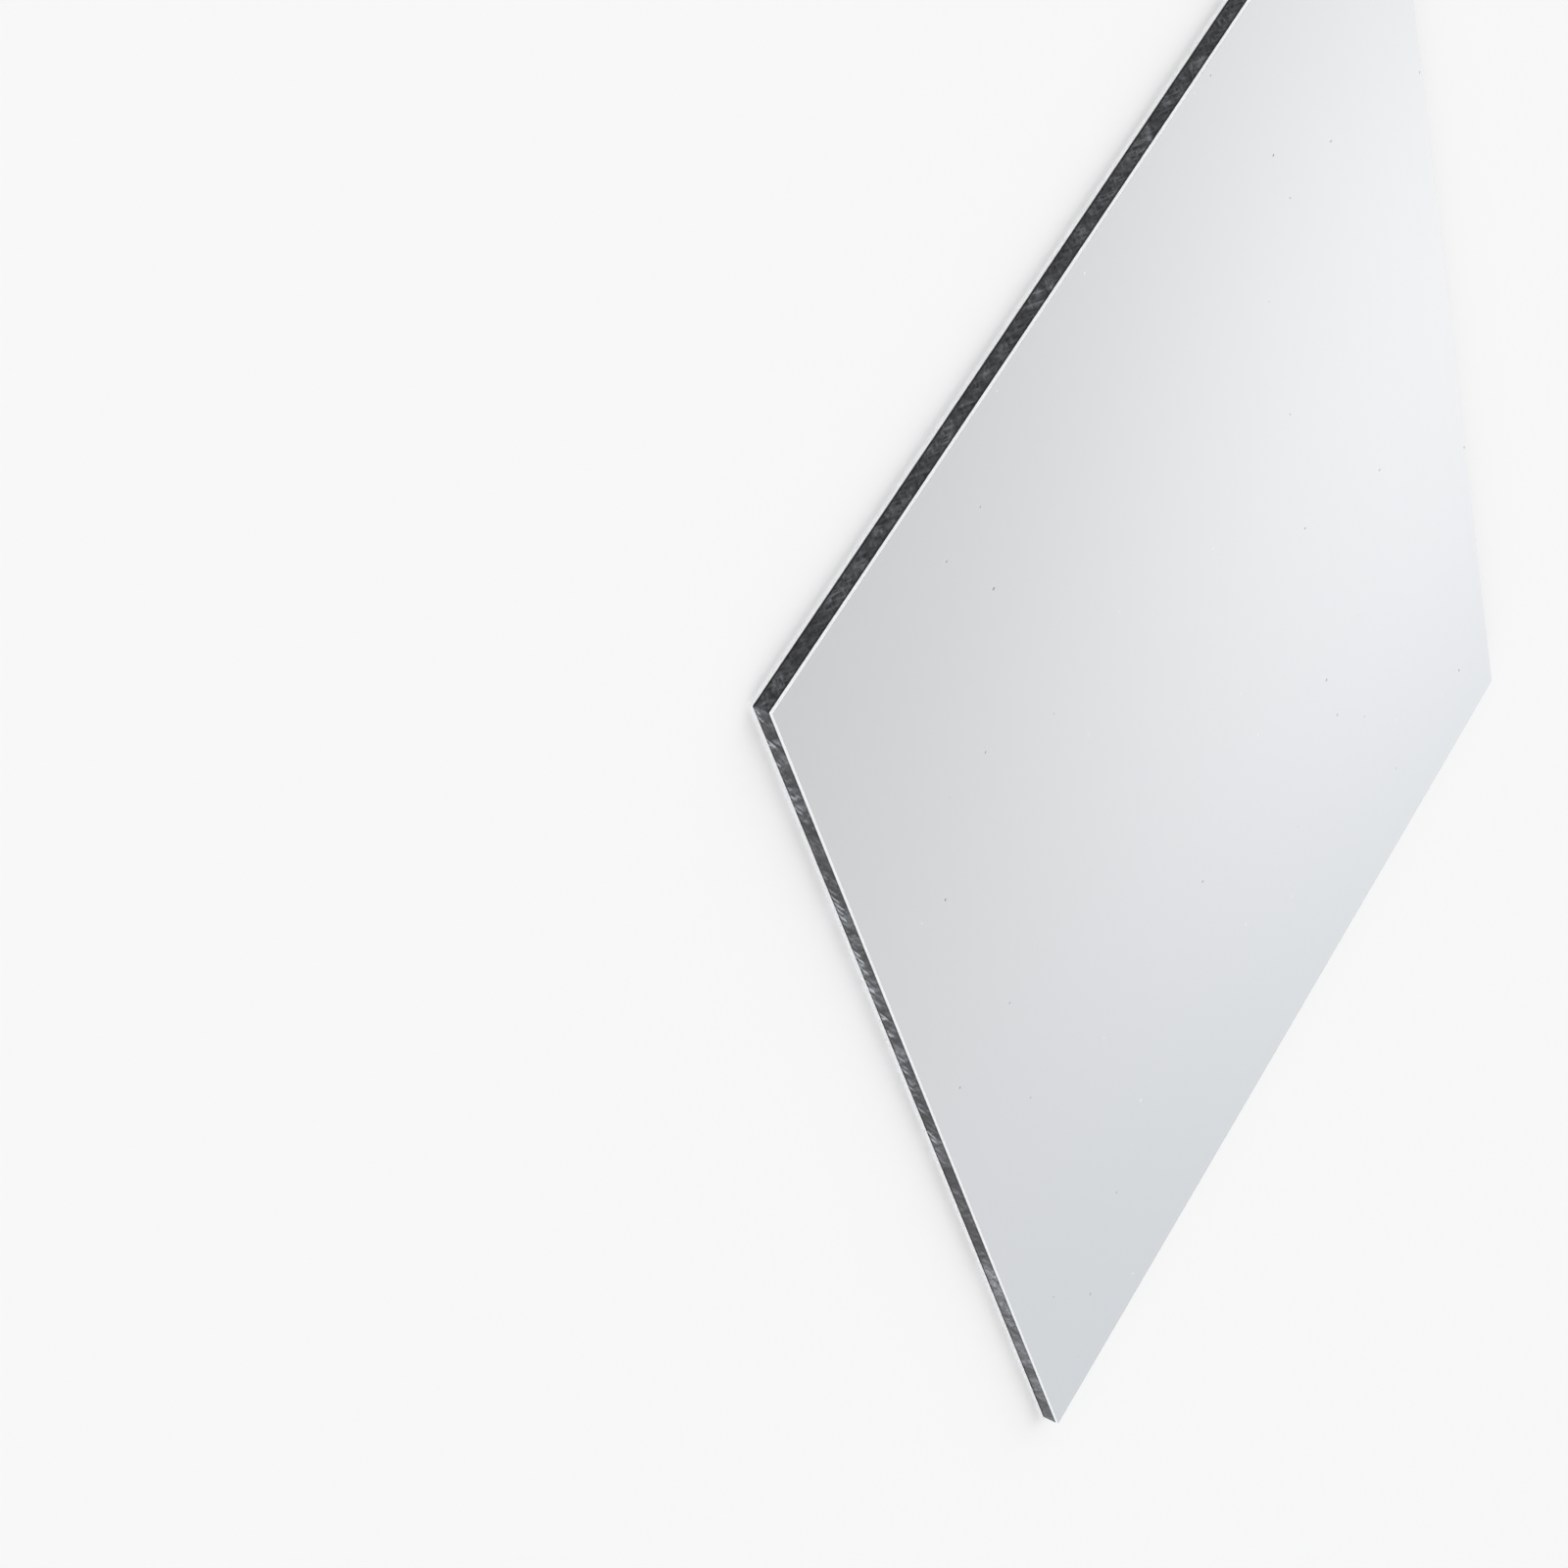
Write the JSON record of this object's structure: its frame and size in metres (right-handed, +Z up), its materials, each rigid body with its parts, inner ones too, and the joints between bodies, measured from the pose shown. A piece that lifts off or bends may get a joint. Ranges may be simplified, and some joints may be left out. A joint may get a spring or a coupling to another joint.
{
  "type": "aluminium composite panel",
  "caption": "Flat rectangular sandwich board: thin silver-coated aluminium skins bonded to both sides of a black polyethylene core, square sawn edges.",
  "frame": {"origin": "middle of the underside, on the surface that the panel lies on", "axes": "+X along the length, +Y along the width, +Z up out of the face"},
  "size_m": [0.27, 0.2, 0.004],
  "materials": {
    "face_skin": "satin silver coil coating on the outer side, bare sawn metal at the edges",
    "core": "sawn black polyethylene with slanting saw marks and pale smears",
    "back_skin": "matt silver-grey service coat on the outer side, bare sawn metal at the edges"
  },
  "bodies": {
    "root": {"face_skin": "face_skin", "core": "core", "back_skin": "back_skin"}
  },
  "joints": []
}
